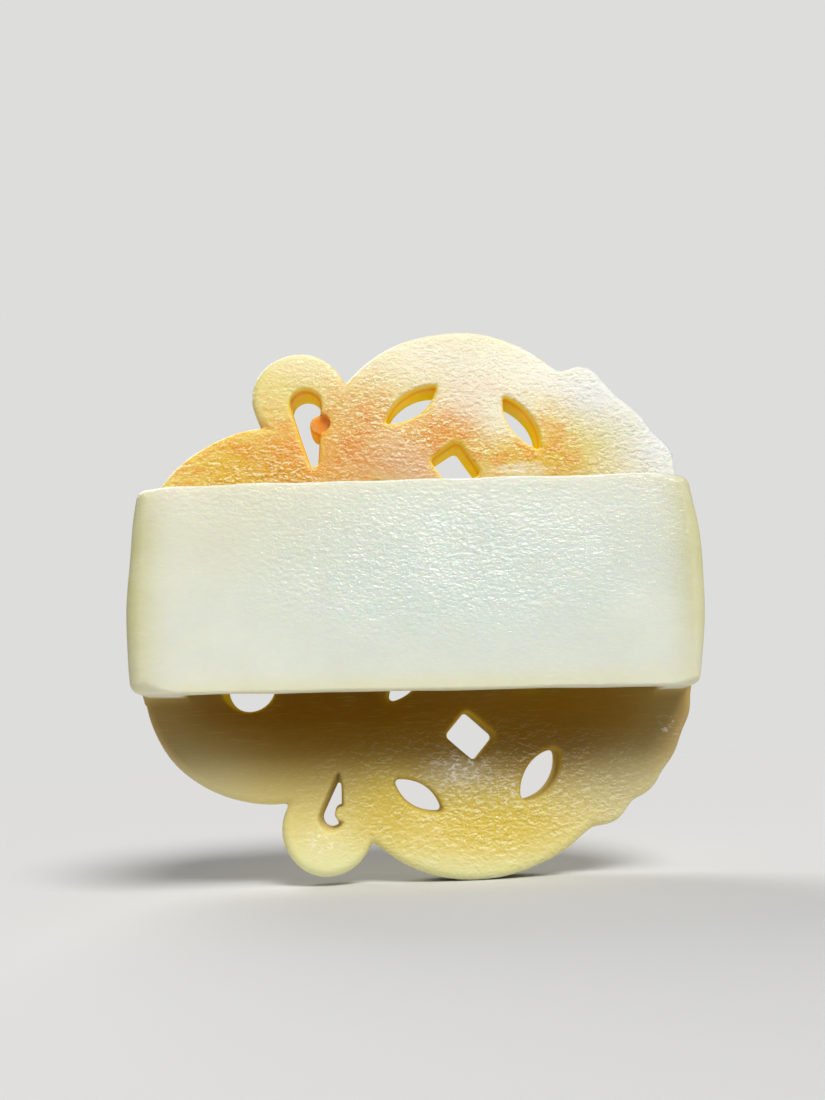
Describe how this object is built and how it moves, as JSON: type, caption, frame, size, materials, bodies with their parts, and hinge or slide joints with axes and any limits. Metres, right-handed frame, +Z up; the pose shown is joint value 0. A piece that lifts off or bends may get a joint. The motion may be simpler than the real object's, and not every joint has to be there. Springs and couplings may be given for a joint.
{
  "type": "jade belt slide",
  "caption": "Openwork jade belt slide: a carved plaque of linked coins, a ruyi cloud head and a bat, with a flat band across its back for the belt.",
  "frame": {"origin": "centre of the belt slot, midway between the plaque's back and the band's inner face", "axes": "+X along the band, +Y out of the carved front, +Z up the plaque along the belt's run; the band's flat face looks along -Y"},
  "size_m": [0.07, 0.0153, 0.0707],
  "materials": {
    "honey_jade": "polished jade, honey amber with orange veins",
    "pale_jade": "polished jade, pale celadon"
  },
  "bodies": {
    "root": {"ruyi_head": "honey_jade", "upper_coin": "honey_jade", "lower_coin": "honey_jade", "bat": "honey_jade", "strap_band": "pale_jade", "left_end_wall": "pale_jade", "right_end_wall": "pale_jade"}
  },
  "joints": []
}
